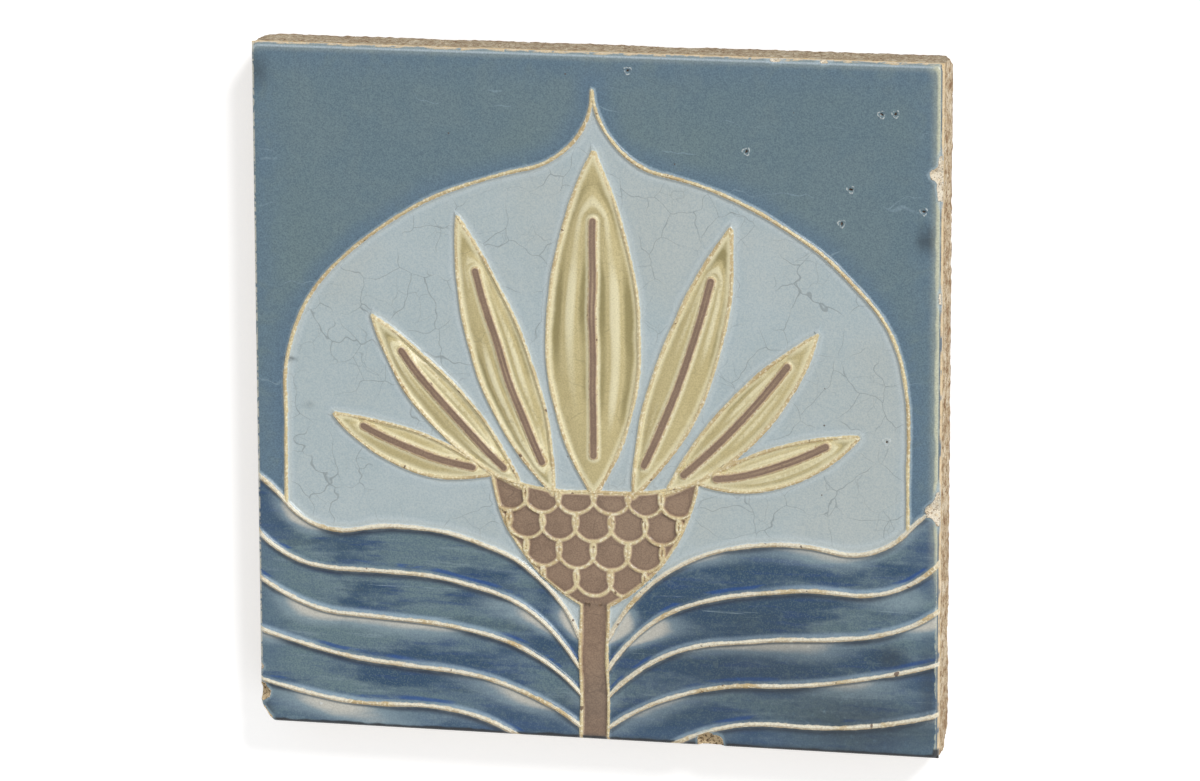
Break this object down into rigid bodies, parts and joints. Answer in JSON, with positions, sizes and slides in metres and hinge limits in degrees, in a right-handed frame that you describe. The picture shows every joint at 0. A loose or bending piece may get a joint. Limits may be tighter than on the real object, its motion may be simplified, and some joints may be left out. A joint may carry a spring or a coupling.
{
  "type": "square wall tile",
  "caption": "Square pressed ceramic wall tile with a raised-line palmette and leaves between coloured glazes, and a keyed back.",
  "frame": {"origin": "centre of the square back, on the plane the tile rests on", "axes": "+Z out of the glazed face, +Y towards the top of its picture, +X to the picture's right"},
  "size_m": [0.203, 0.203, 0.019],
  "materials": {
    "glazed_clay": "matt and crackled coloured glazes between cream clay lines on the face, bare buff clay on the sides and back"
  },
  "bodies": {
    "root": {"tile": "glazed_clay"}
  },
  "joints": []
}
